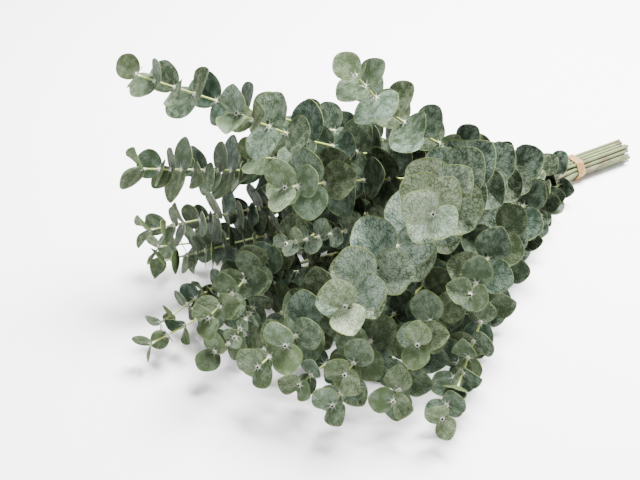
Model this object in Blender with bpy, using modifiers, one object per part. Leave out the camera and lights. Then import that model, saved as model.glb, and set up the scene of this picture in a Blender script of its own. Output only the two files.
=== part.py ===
"""A bunch of round-leaved eucalyptus, lying on a table and tied near its cut ends.

Metres, +Z up. The origin is on the table, under the middle of the tie. From there the
leafy stems fan out towards -X and -Y, and their cut ends point the other way.
Each leafy stem is one solid, with its pairs of leaves, and the tie is a solid of its own.
"""

import math
import random

import bmesh
import bpy
from mathutils import Matrix, Vector
from mathutils.bvhtree import BVHTree

# The tie and the bundle of stems inside it
BUNDLE_ROWS = (4, 5, 6, 5, 4)  # stems in each row of the bundle, from the table upwards
STEM_RADIUS = 0.0021  # of every stem, from its cut end to just past the tie
STEM_GAP = 0.0003  # between neighbouring stems, and between them and the tie
BUNDLE_SWING = 32  # degrees in plan, from -X towards -Y
BUTT_LENGTH = 0.078  # from the tie to the cut ends
BUTT_UNEVEN = 0.012  # how much shorter the shortest cut end is
TIE_WIDTH = 0.009
TIE_THICKNESS = 0.0012
TIE_SIDES = 24
UNDERSIDE = (17, 18)  # the tie's lowest corners, which lie flat on the table

# Every stem thins towards its tip
TIP_RADIUS = 0.0009
GRIP = 0.045  # how far a stem keeps the bundle's direction past the tie
TIP_REACH = 0.36  # share of a stem over which it turns to its tip's own heading
LOWEST_TURN = 0.014  # the lowest that a stem's curve is pulled towards the table
ROUTE_STEPS = 6  # straight pieces from the tie to the tip
FORK_STEPS = 3

# A leaf, as shares of its own length. Outline points are in degrees from the midrib, and 0
# is the leaf's own tip.
BLADE_THICKNESS = 0.0008
BLADE_ANGLES = (70, 38, 0)
SMALL_BLADE_ANGLES = (60, 25)
SMALL_BLADE = 0.0235
BLADE_SPREAD = 0.85  # under 1 makes the leaf broader than long, with a heart-shaped base
CUP = 0.12  # how far the blade's edge rises above its middle
CUP_RANGE = (-0.4, 1.3)  # from slightly domed to well cupped, as shares of CUP
YOUNG = 0.72  # size of the last pair, as a share of the stem's full leaf
GROWN_BY = 4  # pairs from the tip to a full leaf
OLD = 0.7  # size of the leaves nearest the tie
OLD_STEP = 4.0  # distance between the pairs nearest the tie, as a share of the tip's
BARE_TIP = 0.0015  # stem past the last pair
TIP_LEAN = 34  # degrees that the last pair is still closed over the tip
FULL_LEAN = 14  # the same for the grown pairs
OPENED_BY = 2  # pairs from the tip to FULL_LEAN

# Growth is uneven: shares of a length, or degrees, either way
SEED = 11
PAIR_LENGTH_RANGE = (0.92, 1.06)
LEAF_LENGTH_UNEVEN = 0.05
STEP_UNEVEN = 0.1
TURN_UNEVEN = 12
LEAN_UNEVEN = 9
ROLL_UNEVEN = 8

# How a leaf may be bent clear of what is already there: lean and roll in degrees, and size
LEANS = (0, 10, -10, 20, -20, 32, -32, 44, 56, -44)
ROLLS = (0, 14, -14, 28, -28)
SIZES = (1.0, 0.85, 0.7)
CLEARANCE = 0.0004
SMALLEST_LEAF = 0.009
LEAF_REACH = 0.75  # radius of a ball that holds a leaf, as a share of its length
WELD = 0.00002

STEM_COLOUR = (0.36, 0.40, 0.16, 1.0)
LEAF_COLOUR = (0.20, 0.27, 0.20, 1.0)
TIE_COLOUR = (0.42, 0.30, 0.16, 1.0)

# One line for each stem. Its row counts up from the table, and its place from the back of
# the bundle. tip is the last pair of leaves, in metres from the origin, and heads is where
# it points: degrees in plan from -X towards -Y, and degrees of rise. leaf is the length of
# its longest leaves, step the distance between two pairs, bare the stem without leaves,
# turn the first pair's angle round the stem, and sun how far the leaves turn to the light.
STEM_VALUES = ("row", "place", "tip", "heads", "leaf", "step", "bare", "turn", "sun")
STEM_TABLE = (
    (4, 0, (-0.434, -0.165, 0.212), (28, 34), 0.031, 0.027, 0.200, 10, 0.3),
    (4, 1, (-0.340, -0.245, 0.218), (50, 42), 0.033, 0.028, 0.060, 70, 0.2),
    (4, 2, (-0.240, -0.200, 0.230), (40, 58), 0.034, 0.026, 0.045, 20, 0.2),
    (4, 3, (-0.180, -0.340, 0.180), (83, 12), 0.038, 0.021, 0.080, 35, 0.3),
    (3, 0, (-0.431, -0.200, 0.135), (25, 16), 0.032, 0.026, 0.220, 85, 0.2),
    (3, 1, (-0.330, -0.180, 0.135), (25, 18), 0.032, 0.030, 0.220, 40, 0.5),
    (3, 2, (-0.300, -0.270, 0.160), (62, 25), 0.034, 0.028, 0.200, 55, 0.2),
    (3, 3, (-0.250, -0.370, 0.110), (65, -8), 0.039, 0.022, 0.120, 60, 0.6),
    (3, 4, (-0.143, -0.321, 0.085), (72, 2), 0.032, 0.027, 0.035, 15, 0.5),
    (2, 0, (-0.425, -0.220, 0.082), (24, 0), 0.025, 0.020, 0.260, 80, 0.1),
    (2, 1, (-0.414, -0.222, 0.049), (20, -4), 0.026, 0.020, 0.260, 90, 0.0),
    (2, 2, (-0.364, -0.347, 0.080), (70, -5), 0.026, 0.024, 0.260, 70, 0.4),
    (2, 3, (-0.300, -0.270, 0.102), (42, 16), 0.018, 0.017, 0.290, 5, 0.3),
    (2, 4, (-0.190, -0.370, 0.070), (74, 8), 0.030, 0.027, 0.200, 75, 0.4),
    (2, 5, (-0.155, -0.375, 0.028), (70, -20), 0.026, 0.022, 0.060, 80, 0.2),
    (1, 0, (-0.426, -0.170, 0.028), (12, 3), 0.028, 0.025, 0.200, 50, 0.2),
    (1, 1, (-0.420, -0.310, 0.022), (36, -10), 0.022, 0.022, 0.300, 35, 0.1),
    (1, 2, (-0.322, -0.372, 0.048), (65, 6), 0.029, 0.026, 0.280, 45, 0.4),
    (1, 3, (-0.299, -0.366, 0.066), (70, 12), 0.034, 0.028, 0.250, 65, 0.3),
    (1, 4, (-0.250, -0.390, 0.055), (72, 10), 0.029, 0.025, 0.230, 30, 0.4),
    (0, 0, (-0.362, -0.328, 0.028), (50, 10), 0.029, 0.026, 0.260, 85, 0.5),
    (0, 1, (-0.260, -0.400, 0.030), (72, 12), 0.028, 0.025, 0.220, 45, 0.4),
    (0, 2, (-0.210, -0.400, 0.035), (76, 8), 0.028, 0.025, 0.220, 5, 0.4),
    (0, 3, (-0.170, -0.410, 0.025), (78, 10), 0.025, 0.024, 0.180, 60, 0.3),
)
# Side shoots: the stem that each grows from, and the share of that stem below it
SHOOT_VALUES = ("row", "place", "after", "tip", "heads", "leaf", "step", "bare", "turn", "sun")
SHOOT_TABLE = (
    (1, 1, 0.60, (-0.414, -0.283, 0.024), (52, -18), 0.020, 0.020, 0.020, 15, 0.1),
    (0, 1, 0.70, (-0.288, -0.374, 0.030), (66, 4), 0.025, 0.024, 0.020, 20, 0.3),
    (2, 2, 0.70, (-0.342, -0.348, 0.060), (72, 12), 0.015, 0.017, 0.020, 40, 0.3),
)
STEMS = tuple(dict(zip(STEM_VALUES, line)) for line in STEM_TABLE)
SHOOTS = tuple(dict(zip(SHOOT_VALUES, line)) for line in SHOOT_TABLE)
LIGHT = (0.0, -0.5, 0.87)  # where the leaves with sun turn their upper faces


def clear_scene():
    for obj in list(bpy.data.objects):
        bpy.data.objects.remove(obj)


def new_collection(name):
    collection = bpy.data.collections.new(name)
    bpy.context.scene.collection.children.link(collection)
    return collection


def plain_material(name, colour, roughness):
    material = bpy.data.materials.new(name)
    material.use_nodes = True
    shader = material.node_tree.nodes["Principled BSDF"]
    shader.inputs["Base Color"].default_value = colour
    shader.inputs["Roughness"].default_value = roughness
    shader.inputs["Metallic"].default_value = 0.0
    return material


# The bundle: rows of touching stems, laid like pencils in a box

def bundle_axis():
    swing = math.radians(BUNDLE_SWING)
    return Vector((-math.cos(swing), -math.sin(swing), 0.0))


def bundle_across():
    """Level, at right angles to the bundle, from its back to its front."""
    return bundle_axis().cross(Vector((0, 0, 1))) * -1.0


def bundle_place(row, place):
    """Where a stem stands in the bundle: (across, up), from the middle of the tie."""
    pitch = 2 * STEM_RADIUS + STEM_GAP
    across = (place - (BUNDLE_ROWS[row] - 1) / 2) * pitch
    up = (row - (len(BUNDLE_ROWS) - 1) / 2) * pitch * math.sqrt(3) / 2
    return across, up


def tie_height():
    """The middle of the tie above the table."""
    lowest = bundle_place(0, 0)[1]
    return -lowest + STEM_RADIUS + STEM_GAP + TIE_THICKNESS


def place_in_bundle(row, place, along):
    across, up = bundle_place(row, place)
    centre = Vector((0, 0, tie_height()))
    return centre + bundle_across() * across + Vector((0, 0, up)) + bundle_axis() * along


# The route of a stem

def bezier(p0, p1, p2, p3, t):
    u = 1 - t
    return p0 * u**3 + p1 * (3 * u * u * t) + p2 * (3 * u * t * t) + p3 * t**3


def heading(swing, rise):
    swing, rise = math.radians(swing), math.radians(rise)
    level = math.cos(rise)
    return Vector((-math.cos(swing) * level, -math.sin(swing) * level, math.sin(rise)))


def shoot_route(shoot, start, held, radius, steps):
    """[(point, radius)] on one smooth curve, from where a shoot starts to its tip."""
    tip = Vector(shoot["tip"])
    turning = tip - heading(*shoot["heads"]) * ((tip - start).length * TIP_REACH)
    turning.z = max(turning.z, LOWEST_TURN)
    route = []
    for step in range(steps + 1):
        t = step / steps
        route.append((bezier(start, held, turning, tip, t), radius + (TIP_RADIUS - radius) * t))
    return route


def stem_route(stem, rng):
    """From the cut end, straight through the tie, and on to the tip."""
    start = place_in_bundle(stem["row"], stem["place"], TIE_WIDTH)
    butt = place_in_bundle(stem["row"], stem["place"], -BUTT_LENGTH + rng.uniform(0, BUTT_UNEVEN))
    held = start + bundle_axis() * GRIP
    return [(butt, STEM_RADIUS)] + shoot_route(stem, start, held, STEM_RADIUS, ROUTE_STEPS)


def side_route(shoot, stem_points):
    """From a point on its stem, at first along the stem."""
    spans = [(b[0] - a[0]).length for a, b in zip(stem_points[1:-1], stem_points[2:])]
    start, along = point_from_tip(stem_points, sum(spans) * (1 - shoot["after"]))
    held = start + along * ((Vector(shoot["tip"]) - start).length * TIP_REACH)
    return shoot_route(shoot, start, held, (STEM_RADIUS + TIP_RADIUS) / 2, FORK_STEPS)


def point_from_tip(route, distance):
    """(point, direction towards the tip) at a distance along the stem from its tip."""
    for (near, _), (far, _) in zip(reversed(route[:-1]), reversed(route[1:])):
        span = (far - near).length
        if distance <= span:
            return far.lerp(near, distance / span), (far - near).normalized()
        distance -= span
    raise ValueError("the distance is longer than the stem")


def grown_length(route):
    """From the tip back to the tie, or to the fork."""
    first = 1 if len(route) > FORK_STEPS + 1 else 0
    return sum((b[0] - a[0]).length for a, b in zip(route[first:-1], route[first + 1 :]))


def route_mesh(route):
    """The stem's tube, as a mesh with its caps welded."""
    curve = bpy.data.curves.new("stem_route", "CURVE")
    curve.dimensions = "3D"
    curve.bevel_depth = 1.0
    curve.bevel_resolution = 0
    curve.use_fill_caps = True
    spline = curve.splines.new("POLY")
    spline.points.add(len(route) - 1)
    for point, (place, radius) in zip(spline.points, route):
        point.co = (*place, 1.0)
        point.radius = radius
    tube = bpy.data.objects.new("stem_route", curve)
    bpy.context.scene.collection.objects.link(tube)
    graph = bpy.context.evaluated_depsgraph_get()
    mesh = bpy.data.meshes.new_from_object(tube.evaluated_get(graph))
    bpy.data.objects.remove(tube)
    bm = bmesh.new()
    bm.from_mesh(mesh)
    bmesh.ops.remove_doubles(bm, verts=bm.verts, dist=WELD)
    bmesh.ops.recalc_face_normals(bm, faces=bm.faces)
    bm.to_mesh(mesh)
    bm.free()
    return mesh


# One leaf: a thin, slightly cupped plate, from its base edge in the stem to its round end

def blade_outline(length):
    """(across, along) for a leaf of length 1: its base point, then pairs, left and right."""
    outline = [(0.0, 0.0)]
    for angle in SMALL_BLADE_ANGLES if length < SMALL_BLADE else BLADE_ANGLES:
        reach = math.cos(math.radians(angle * BLADE_SPREAD))
        across = reach * math.sin(math.radians(angle))
        along = reach * math.cos(math.radians(angle))
        outline += [(-across, along), (across, along)] if angle else [(0.0, along)]
    return outline


def blade_points(leaf, length, spare=0.0):
    """Points of the leaf's upper face, then of its lower, all moved out by what is spare."""
    upper, lower = [], []
    thickness = BLADE_THICKNESS + 2 * spare
    for x, y in blade_outline(length):
        size = length + 2 * spare
        point = leaf["root"] + leaf["side"] * (x * size) + leaf["midrib"] * (y * size)
        point += leaf["face"] * (leaf["cup"] * (x * x + y * y) * size)
        upper.append(point + leaf["face"] * (thickness / 2))
        lower.append(point - leaf["face"] * (thickness / 2))
    return upper + lower


def blade_faces(count):
    """Rungs of triangles up the leaf, alike on both faces, and the strip of its edge."""
    rungs = [(0, 2, 1)]
    for left in range(1, count - 3, 2):
        rungs += [(left, left + 1, left + 2), (left + 1, left + 3, left + 2)]
    has_tip = count % 2 == 0
    if has_tip:
        rungs.append((count - 3, count - 2, count - 1))
    faces = rungs + [tuple(count + point for point in reversed(rung)) for rung in rungs]
    rim = [0] + list(range(2, count, 2)) + ([count - 1] if has_tip else [])
    rim += list(range(count - 3 if has_tip else count - 2, 0, -2))
    for a, b in zip(rim, rim[1:] + rim[:1]):
        faces += [(b, a, a + count), (b, a + count, b + count)]
    return faces


def blade_tree(leaf, length):
    points = blade_points(leaf, length, CLEARANCE)
    return BVHTree.FromPolygons(points, blade_faces(len(points) // 2)), points


# Leaves: pairs, each turned a quarter from the next, bent clear of each other

def either_way(rng, amount):
    return rng.uniform(-amount, amount)


def leaf_pairs(shoot, route, rng):
    """The two leaves of every pair, as they would stand if nothing were in the way."""
    pairs = []
    distance, number = BARE_TIP, 0
    whole = grown_length(route)
    while distance < whole - shoot["bare"]:
        root, towards_tip = point_from_tip(route, distance)
        grown = YOUNG + (1 - YOUNG) * min(1.0, number / GROWN_BY)
        age = (distance / whole) ** 2
        length = shoot["leaf"] * grown * (1 - (1 - OLD) * age) * rng.uniform(*PAIR_LENGTH_RANGE)
        open_lean = TIP_LEAN + (FULL_LEAN - TIP_LEAN) * min(1.0, number / OPENED_BY)
        quarter = math.radians(shoot["turn"] + 90 * number + either_way(rng, TURN_UNEVEN))
        level = towards_tip.cross(Vector((0, 0, 1))).normalized()
        upright = level.cross(towards_tip)
        pair = []
        for half_turn in (0, math.pi):
            angle = quarter + half_turn
            pair.append(
                dict(
                    shoot=shoot,
                    number=number,
                    root=root,
                    towards_tip=towards_tip,
                    out=level * math.cos(angle) + upright * math.sin(angle),
                    lean=open_lean + either_way(rng, LEAN_UNEVEN),
                    roll=either_way(rng, ROLL_UNEVEN),
                    cup=CUP * rng.uniform(*CUP_RANGE),
                    length=length * (1 + either_way(rng, LEAF_LENGTH_UNEVEN)),
                )
            )
        pairs.append(pair)
        widening = 1 + (OLD_STEP - 1) * age
        distance += shoot["step"] * grown * widening * (1 + either_way(rng, STEP_UNEVEN))
        number += 1
    return pairs


def aim(leaf, lean, roll):
    """Sets the leaf's own directions: midrib, upper face and side."""
    tilt = math.radians(lean)
    sun = leaf["shoot"]["sun"]
    open_face = (leaf["towards_tip"] * (1 - sun) + Vector(LIGHT) * sun).normalized()
    out = (leaf["out"] - open_face * leaf["out"].dot(open_face)).normalized()
    leaf["midrib"] = out * math.cos(tilt) + open_face * math.sin(tilt)
    face = open_face * math.cos(tilt) - out * math.sin(tilt)
    turn = Matrix.Rotation(math.radians(roll), 3, leaf["midrib"])
    leaf["face"] = turn @ face
    leaf["side"] = leaf["midrib"].cross(leaf["face"])


def is_clear(leaf, length, obstacles):
    tree, points = blade_tree(leaf, length)
    if min(point.z for point in points) < 0:
        return None
    middle = leaf["root"] + leaf["midrib"] * (length / 2)
    reach = LEAF_REACH * length
    for other in obstacles:
        if other["shoot"] is leaf["shoot"] and other["number"] in (leaf["number"], None):
            continue
        if (other["middle"] - middle).length < other["reach"] + reach:
            if tree.overlap(other["tree"]):
                return None
    return dict(shoot=leaf["shoot"], number=leaf["number"], middle=middle, reach=reach, tree=tree)


def bend_clear(leaf, obstacles):
    """Tries the leaf as it grew, then leaned, rolled and smaller. True if it found room."""
    for size in SIZES:
        for roll in ROLLS:
            for lean in LEANS:
                length = leaf["length"] * size
                aim(leaf, leaf["lean"] + lean, leaf["roll"] + roll)
                found = is_clear(leaf, length, obstacles) if length > SMALLEST_LEAF else None
                if found:
                    leaf["length"] = length
                    obstacles.append(found)
                    return True
    return False


def route_obstacles(shoot, route):
    """The shoot's straight pieces, so that no other shoot's leaf crosses them."""
    found = []
    for (a, radius_a), (b, radius_b) in zip(route, route[1:]):
        along = (b - a).normalized()
        side = along.orthogonal().normalized()
        other = along.cross(side)
        points = []
        for place, radius in ((a, radius_a), (b, radius_b)):
            half = radius + CLEARANCE
            for across, up in ((half, half), (-half, half), (-half, -half), (half, -half)):
                points.append(place + side * across + other * up)
        faces = [(a, (a + 1) % 4, (a + 1) % 4 + 4, a + 4) for a in range(4)]
        found.append(
            dict(
                shoot=shoot,
                number=None,
                middle=(a + b) / 2,
                reach=(a - b).length / 2 + radius_a,
                tree=BVHTree.FromPolygons(points, faces),
            )
        )
    return found


def lay_out():
    """For each stem, its shoots: [(route, leaves)]. Leaves nearest the tips are placed first."""
    rng = random.Random(SEED)
    shoots = []
    for index, stem in enumerate(STEMS):
        route = stem_route(stem, rng)
        shoots.append((index, stem, route))
        for side in SHOOTS:
            if (side["row"], side["place"]) == (stem["row"], stem["place"]):
                shoots.append((index, side, side_route(side, route)))
    obstacles = [piece for _, shoot, route in shoots for piece in route_obstacles(shoot, route)]
    pairs = [leaf_pairs(shoot, route, rng) for _, shoot, route in shoots]
    placed = [[] for _ in shoots]
    for number in range(max(len(p) for p in pairs)):
        for shoot_pairs, own in zip(pairs, placed):
            if number < len(shoot_pairs):
                own += [leaf for leaf in shoot_pairs[number] if bend_clear(leaf, obstacles)]
    stems = [[] for _ in STEMS]
    for (index, _, route), own in zip(shoots, placed):
        stems[index].append((route, own))
    return stems


# Solids

def leaf_object(leaf, collection):
    points = blade_points(leaf, leaf["length"])
    mesh = bpy.data.meshes.new("leaf")
    mesh.from_pydata(points, [], blade_faces(len(points) // 2))
    bm = bmesh.new()
    bm.from_mesh(mesh)
    bmesh.ops.recalc_face_normals(bm, faces=bm.faces)
    bm.to_mesh(mesh)
    bm.free()
    collection.objects.link(bpy.data.objects.new("leaf", mesh))


def leafy_stem(name, shoots, material, parts):
    """One stem with its side shoots and leaves joined to it in one solid."""
    solid = bpy.data.objects.new(name, route_mesh(shoots[0][0]))
    parts.objects.link(solid)
    repeats = new_collection(name + "_leaves")
    for route, leaves in shoots:
        if route is not shoots[0][0]:
            repeats.objects.link(bpy.data.objects.new("side_shoot", route_mesh(route)))
        for leaf in leaves:
            leaf_object(leaf, repeats)
    union = solid.modifiers.new("leaves", "BOOLEAN")
    union.operation = "UNION"
    union.operand_type = "COLLECTION"
    union.collection = repeats
    union.solver = "MANIFOLD"
    graph = bpy.context.evaluated_depsgraph_get()
    joined = bpy.data.meshes.new_from_object(solid.evaluated_get(graph))
    solid.modifiers.clear()
    solid.data = joined
    for obj in list(repeats.objects):
        bpy.data.objects.remove(obj)
    bpy.data.collections.remove(repeats)
    solid.data.materials.clear()
    solid.data.materials.append(material)
    return solid


def tie_band(material, parts):
    """The band round the bundle: the outermost stem in each direction, plus its radius."""
    places = []
    for row, count in enumerate(BUNDLE_ROWS):
        places += [Vector(bundle_place(row, place)) for place in range(count)]
    bm = bmesh.new()
    rings = []
    for along in (-TIE_WIDTH / 2, TIE_WIDTH / 2):
        ring = []
        for side in range(TIE_SIDES):
            angle = 2 * math.pi * (side + 0.5) / TIE_SIDES
            outward = Vector((math.cos(angle), math.sin(angle)))
            far = max(places, key=lambda place: place.dot(outward))
            point = far + outward * (STEM_RADIUS + STEM_GAP)
            if side in UNDERSIDE:
                point.y = -(tie_height() - TIE_THICKNESS)
            world = Vector((0, 0, tie_height() + point.y))
            world += bundle_across() * point.x + bundle_axis() * along
            ring.append(bm.verts.new(world))
        rings.append(ring)
    for side in range(TIE_SIDES):
        after = (side + 1) % TIE_SIDES
        bm.faces.new((rings[0][side], rings[0][after], rings[1][after], rings[1][side]))
    bmesh.ops.recalc_face_normals(bm, faces=bm.faces)
    mesh = bpy.data.meshes.new("tie")
    bm.to_mesh(mesh)
    bm.free()
    band = bpy.data.objects.new("tie", mesh)
    parts.objects.link(band)
    wall = band.modifiers.new("wall", "SOLIDIFY")
    wall.thickness = TIE_THICKNESS
    wall.offset = 1.0
    wall.use_even_offset = True
    mesh.materials.append(material)
    return band


def main():
    clear_scene()
    parts = new_collection("eucalyptus_bunch")
    foliage = plain_material("eucalyptus_foliage", LEAF_COLOUR, 0.55)
    rubber = plain_material("tie_rubber", TIE_COLOUR, 0.6)
    for number, shoots in enumerate(lay_out(), 1):
        leafy_stem(f"leafy_stem_{number:02d}", shoots, foliage, parts)
    tie_band(rubber, parts)


main()
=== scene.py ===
import math
import random

import bmesh
import bpy
from mathutils import Matrix, Vector
from mathutils.bvhtree import BVHTree


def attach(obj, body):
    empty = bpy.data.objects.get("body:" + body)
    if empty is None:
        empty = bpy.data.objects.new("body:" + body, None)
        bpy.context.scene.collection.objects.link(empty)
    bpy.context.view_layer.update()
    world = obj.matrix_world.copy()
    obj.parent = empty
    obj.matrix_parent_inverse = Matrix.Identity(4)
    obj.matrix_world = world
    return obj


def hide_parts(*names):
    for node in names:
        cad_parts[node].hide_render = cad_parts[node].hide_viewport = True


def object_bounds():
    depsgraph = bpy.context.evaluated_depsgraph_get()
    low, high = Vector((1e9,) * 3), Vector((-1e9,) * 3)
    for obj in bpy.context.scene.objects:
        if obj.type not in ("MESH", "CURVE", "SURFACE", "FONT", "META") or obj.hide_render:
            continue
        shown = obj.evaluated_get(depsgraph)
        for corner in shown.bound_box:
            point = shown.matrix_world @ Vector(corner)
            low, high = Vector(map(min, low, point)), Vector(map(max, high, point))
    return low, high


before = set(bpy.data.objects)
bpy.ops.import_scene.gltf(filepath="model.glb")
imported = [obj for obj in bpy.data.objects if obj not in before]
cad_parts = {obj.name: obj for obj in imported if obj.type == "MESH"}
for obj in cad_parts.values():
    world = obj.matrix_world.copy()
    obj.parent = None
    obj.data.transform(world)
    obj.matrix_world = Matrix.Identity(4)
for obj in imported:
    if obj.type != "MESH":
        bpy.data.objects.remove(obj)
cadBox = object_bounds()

# A tied bunch of round-leaved eucalyptus. Each stem grows along one smooth curve from the tie
# to its tip, and its leaves stand in pairs, each pair a quarter turn from the next.
# The layout repeats the solids' own rules, so every solid leaf has its fine one in its place. Then
# more leaves fill the stems where the solids leave them bare.


def addObject(name, data):
    obj = bpy.data.objects.new(name, data)
    bpy.context.scene.collection.objects.link(obj)
    return obj


def meshFrom(bm, name):
    mesh = bpy.data.meshes.new(name)
    bm.to_mesh(mesh)
    bm.free()
    return mesh


# Camera and light

view = {
    "lookAt": (-0.270, -0.2327, 0.08),
    "elevation": 35,  # degrees above the table
    "distance": 1.25,
    "lens": 78.13,  # mm
    "sensor": 36,
}


def addCamera():
    rise = math.radians(view["elevation"])
    back = Vector((0, -math.cos(rise), math.sin(rise)))
    camera = addObject("camera", bpy.data.cameras.new("camera"))
    camera.location = Vector(view["lookAt"]) + back * view["distance"]
    camera.rotation_euler = back.to_track_quat("Z", "Y").to_euler()
    camera.data.lens = view["lens"]
    camera.data.sensor_width = view["sensor"]
    bpy.context.scene.camera = camera


# Each softbox: where it hangs, its width in metres and its power in watts
softboxes = {
    "keyBox": {"place": (0.15, 0.30, 1.3), "width": 0.8, "watts": 180},
    "frontBox": {"place": (-0.9, -1.3, 1.2), "width": 1.4, "watts": 12},
}


def addSoftboxes():
    target = Vector(view["lookAt"])
    for name, box in softboxes.items():
        light = addObject(name, bpy.data.lights.new(name, "AREA"))
        light.location = box["place"]
        light.rotation_euler = (light.location - target).to_track_quat("Z", "Y").to_euler()
        light.data.size = box["width"]
        light.data.energy = box["watts"]


stage = {
    "sky": 0.9,  # strength of the white surroundings
    "paper": (0.95, 0.95, 0.95, 1),
    "paperRoughness": 0.8,
    "halfWidth": 4,  # metres
}


def addStage():
    world = bpy.data.worlds.new("studio")
    world.use_nodes = True
    sky = world.node_tree.nodes["Background"].inputs
    sky["Color"].default_value = (1, 1, 1, 1)
    sky["Strength"].default_value = stage["sky"]
    bpy.context.scene.world = world
    bm = bmesh.new()
    bmesh.ops.create_grid(bm, x_segments=1, y_segments=1, size=stage["halfWidth"])
    floor = addObject("floor", meshFrom(bm, "floor"))
    settings = {"Base Color": stage["paper"], "Roughness": stage["paperRoughness"]}
    floor.data.materials.append(newMaterial("paperSweep", settings))


# Materials

def linear(hexColour):
    channels = [int(hexColour[start : start + 2], 16) / 255 for start in (0, 2, 4)]
    return [c / 12.92 if c <= 0.04045 else ((c + 0.055) / 1.055) ** 2.4 for c in channels] + [1]


def newMaterial(name, settings):
    material = bpy.data.materials.new(name)
    material.use_nodes = True
    shader = material.node_tree.nodes["Principled BSDF"]
    for socket, value in settings.items():
        shader.inputs[socket].default_value = value
    return material


def addNode(tree, kind, settings, links=None):
    node = tree.nodes.new("ShaderNode" + kind)
    for name, value in settings.items():
        if isinstance(name, str) and hasattr(node, name):
            setattr(node, name, value)
        else:
            node.inputs[name].default_value = value
    for name, socket in (links or {}).items():
        tree.links.new(socket, node.inputs[name])
    return node


# A smooth step from 0 to 1 while value goes from start to end
def ramp(tree, value, start, end):
    settings = {"interpolation_type": "SMOOTHSTEP", "From Min": start, "From Max": end}
    return addNode(tree, "MapRange", settings, {"Value": value}).outputs["Result"]


def mix(tree, share, under, over):
    node = addNode(tree, "Mix", {"data_type": "RGBA"}, {0: share})
    for socket, colour in ((6, under), (7, over)):
        if isinstance(colour, str):
            node.inputs[socket].default_value = linear(colour)
        else:
            tree.links.new(colour, node.inputs[socket])
    return node.outputs[2]


def maths(tree, operation, first, second=0.0, third=0.0):
    node = addNode(tree, "Math", {"operation": operation})
    for socket, value in enumerate((first, second, third)):
        if isinstance(value, (int, float)):
            node.inputs[socket].default_value = value
        else:
            tree.links.new(value, node.inputs[socket])
    return node.outputs[0]


# One value times another, plus a third
def scaled(tree, value, factor, offset=0.0):
    return maths(tree, "MULTIPLY_ADD", value, factor, offset)


# Noise in the object's own space, with a given number of grains in a metre
def objectNoise(tree, grains, detail):
    coords = addNode(tree, "TexCoord", {}).outputs["Object"]
    settings = {"Scale": grains, "Detail": detail}
    return addNode(tree, "TexNoise", settings, {"Vector": coords}).outputs["Fac"]


# Gives a material its colour, and bump as a height with its strength and its depth in metres
def paint(material, colour, bump=None):
    tree = material.node_tree
    shader = tree.nodes["Principled BSDF"].inputs
    tree.links.new(colour, shader["Base Color"])
    if bump:
        height, strength, depth = bump
        settings = {"Strength": strength, "Distance": depth}
        normal = addNode(tree, "Bump", settings, {"Height": height}).outputs["Normal"]
        tree.links.new(normal, shader["Normal"])
    return material


# The leaf's plane map: how many mm wide the whole map is, and where on it a leaf's base lies
leafMap = {"width": 64, "base": (0.5, 0.125)}

leafLook = {
    "deep": "1C2519",  # old leaves near the tie: partly their own darker green, partly painted shade deep in the bunch
    "blade": ("313B26", "293A2D"),  # from the yellowest leaves to the bluest
    "young": "424F33",  # the last pairs of a stem
    "wax": ("7B876D", "728375"),
    "thickWax": "A2AC97",
    "margin": "606D42",
    "youngMargin": "727F4A",
    "thinEdge": ("4A5638", "7C8856"),
    "heart": "F2F5EA",  # where a pair's two bases meet
    # The under face's colours: its own green and wax, darkened further as painted shade on faces that
    # turn away from the light
    "under": "141B0F",
    "underWax": "232D1B",
    "veinGap": 1.2,  # mm between side veins
    "veinGapAt": 14,  # mm from the leaf's base
    "veinLength": 5.6,  # mm from one branching to the next
    "veinDepth": 0.6,  # as a share of the grains' height
    "mainVeins": 6.0,  # main veins in one radian round the leaf's base
    "mainVeinBend": 5.0,
    "speck": 0.8,  # mm, grains of wax
    "patch": 8.0,  # mm, where wax is rubbed thin
    "rays": 7.0,  # pale rays in one radian round the leaf's base
    "rayBend": 9.0,  # how much patches bend the rays, as mainVeinBend does with main veins
    "heartRough": 3.0,  # mm by which the heart's edge is uneven
    "upperBump": (0.35, 0.0004),  # strength, and depth in metres
    "underBump": (0.25, 0.0003),
}

# Where each look starts and where it is full
leafRamps = {
    "grownGreen": (0.0, 0.35),  # age
    "deepGreen": (0.4, 1.0),  # age
    "youngMargin": (0.3, 0.08),  # age
    "vein": (0.16, 0.02),  # from the vein's middle, as a share of a cell
    "mainVein": (0.22, 0.04),  # height of the wave whose zeros are the veins
    "ray": (0.4, 1.0),  # height of the wave whose crests are the rays
    "rayReach": (7.0, 1.0),  # mm from the leaf's base
    "heart": (4.3, 2.6),  # mm from the leaf's base
    "specks": (0.36, 0.64),  # noise, as are the patches
    "patches": (0.35, 0.65),
    "underPatches": (0.3, 0.7),
    "wax": (0.0, 1.4),  # the wax in all, as is the thick wax
    "thickWax": (0.9, 1.9),
    "margin": (0.92, 1.0),  # 1 along the leaf's edge
    "underMargin": (0.94, 1.0),
    "thinEdge": (0.3, 0.9),  # seed
}

# How strong each look is. In a pair, the first number is multiplied by the leaf's own wax, or by
# its seed for the rays, and the second is added.
leafShares = {
    "grains": (0.25, 0.3),
    "patches": 0.45,
    "bareVeins": (-0.6, -0.2),
    "thickWax": 0.65,
    "rays": (0.4, 0.15),
    "margin": (0.5, 0.4),
    "underWax": 0.5,
    "underPatches": 0.5,
    "underVeins": 0.3,
    "underMargin": 0.4,
}
# How far apart the patterns of two leaves can lie, since a leaf's seed goes from 0 to 1
seedSpread = {"veins": 40.0, "mainVeins": 9.0, "noise": 17.0}


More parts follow.
